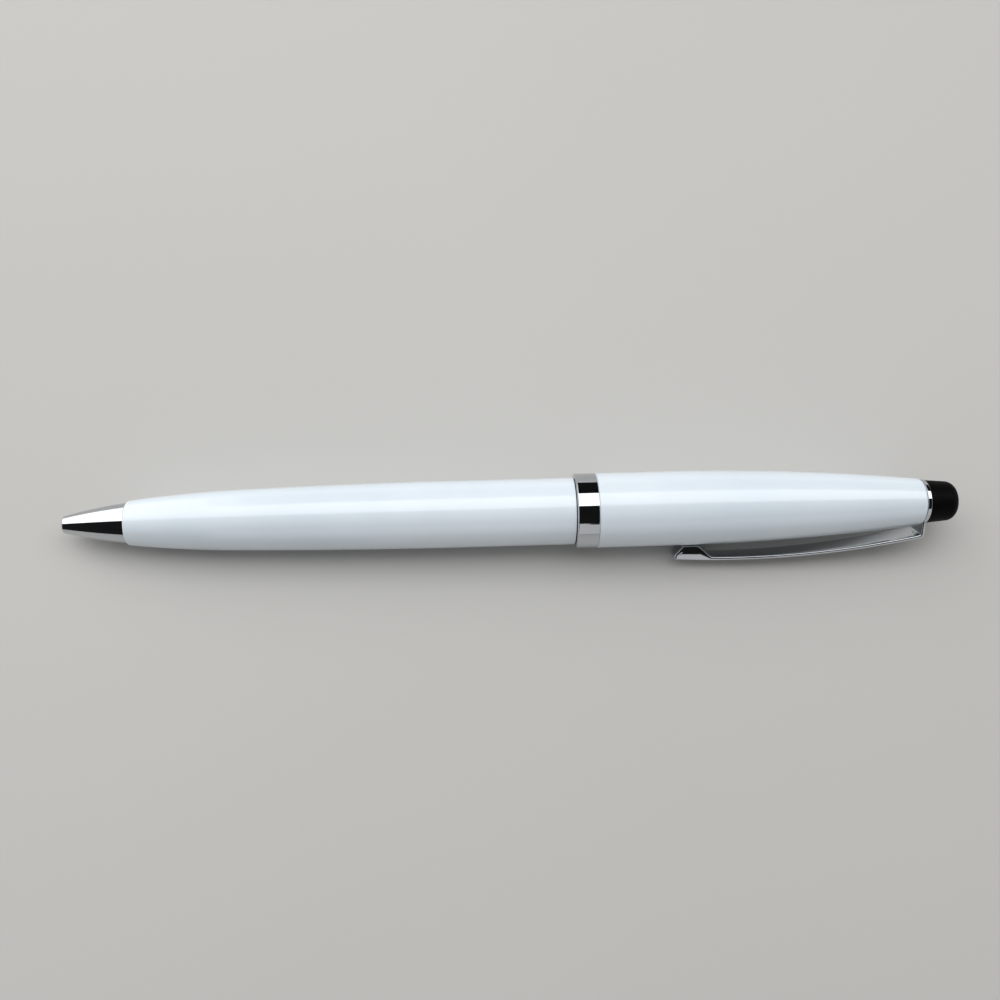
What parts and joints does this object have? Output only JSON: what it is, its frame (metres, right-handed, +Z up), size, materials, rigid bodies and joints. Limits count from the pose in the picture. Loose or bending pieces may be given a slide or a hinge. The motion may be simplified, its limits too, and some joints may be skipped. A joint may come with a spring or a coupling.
{
  "type": "twist ballpoint pen",
  "caption": "Slim white ballpoint pen whose rear half twists to push out a screw-in refill through a chrome nose, with a chrome centre band, a bowed pocket clip and a black domed end.",
  "frame": {"origin": "on the pen's axis at the twist seam, where the barrel ends and the turning band begins", "axes": "+X along the pen from its tip to its domed end, +Z up as the pen is put down on a table on its barrel and band, but for 1.2 degrees of nose-down tip, -Y towards the clip, whose edge just clears the table"},
  "size_m": [0.138, 0.0137, 0.0119],
  "materials": {
    "white_lacquer": "gloss white lacquer over drawn brass tube",
    "chrome_plate": "polished chrome plate",
    "black_plastic": "moulded satin black",
    "turned_brass": "turned",
    "natural_nylon": "moulded, natural",
    "black_rubber": "moulded",
    "spring_steel": "ground",
    "grey_plastic": "moulded",
    "ink": "thick black ink",
    "nickel_silver": "turned nickel silver",
    "carbide": "polished ball"
  },
  "bodies": {
    "barrel": {"barrel_shell": "white_lacquer", "nose_cone": "chrome_plate", "nose_bush": "turned_brass", "coupling_bush": "turned_brass", "guide_tube": "grey_plastic", "friction_ring": "black_rubber", "thrust_washer": "natural_nylon", "retaining_clip": "spring_steel"},
    "cap": {"center_band": "chrome_plate", "cap_shell": "white_lacquer", "drive_bush": "natural_nylon", "cam_sleeve": "turned_brass", "clip": "chrome_plate", "clip_nut": "turned_brass", "end_stud": "turned_brass", "end_cap": "black_plastic"},
    "refill": {"plunger": "natural_nylon", "drive_pin": "spring_steel", "refill_collar": "grey_plastic", "refill_tube": "turned_brass", "ink_column": "ink", "refill_tip": "nickel_silver"},
    "ball": {"writing_ball": "carbide"}
  },
  "joints": [
    {"name": "cap_twist", "type": "hinge", "parent": "barrel", "child": "cap", "pos_m": [0, 0, 0], "axis": [-1, 0, 0], "range_deg": [0, 180]},
    {"name": "refill_advance", "type": "slide", "parent": "barrel", "child": "refill", "axis": [-1, 0, 0], "range_m": [0, 0.0045]},
    {"name": "ball_roll", "type": "hinge", "parent": "refill", "child": "ball", "pos_m": [-0.0756, 0, 0], "axis": [0, 1, 0], "continuous": true}
  ],
  "couplings": [
    {"joint": "refill_advance", "follows": "cap_twist", "m_per_rad": 0.0014324}
  ]
}
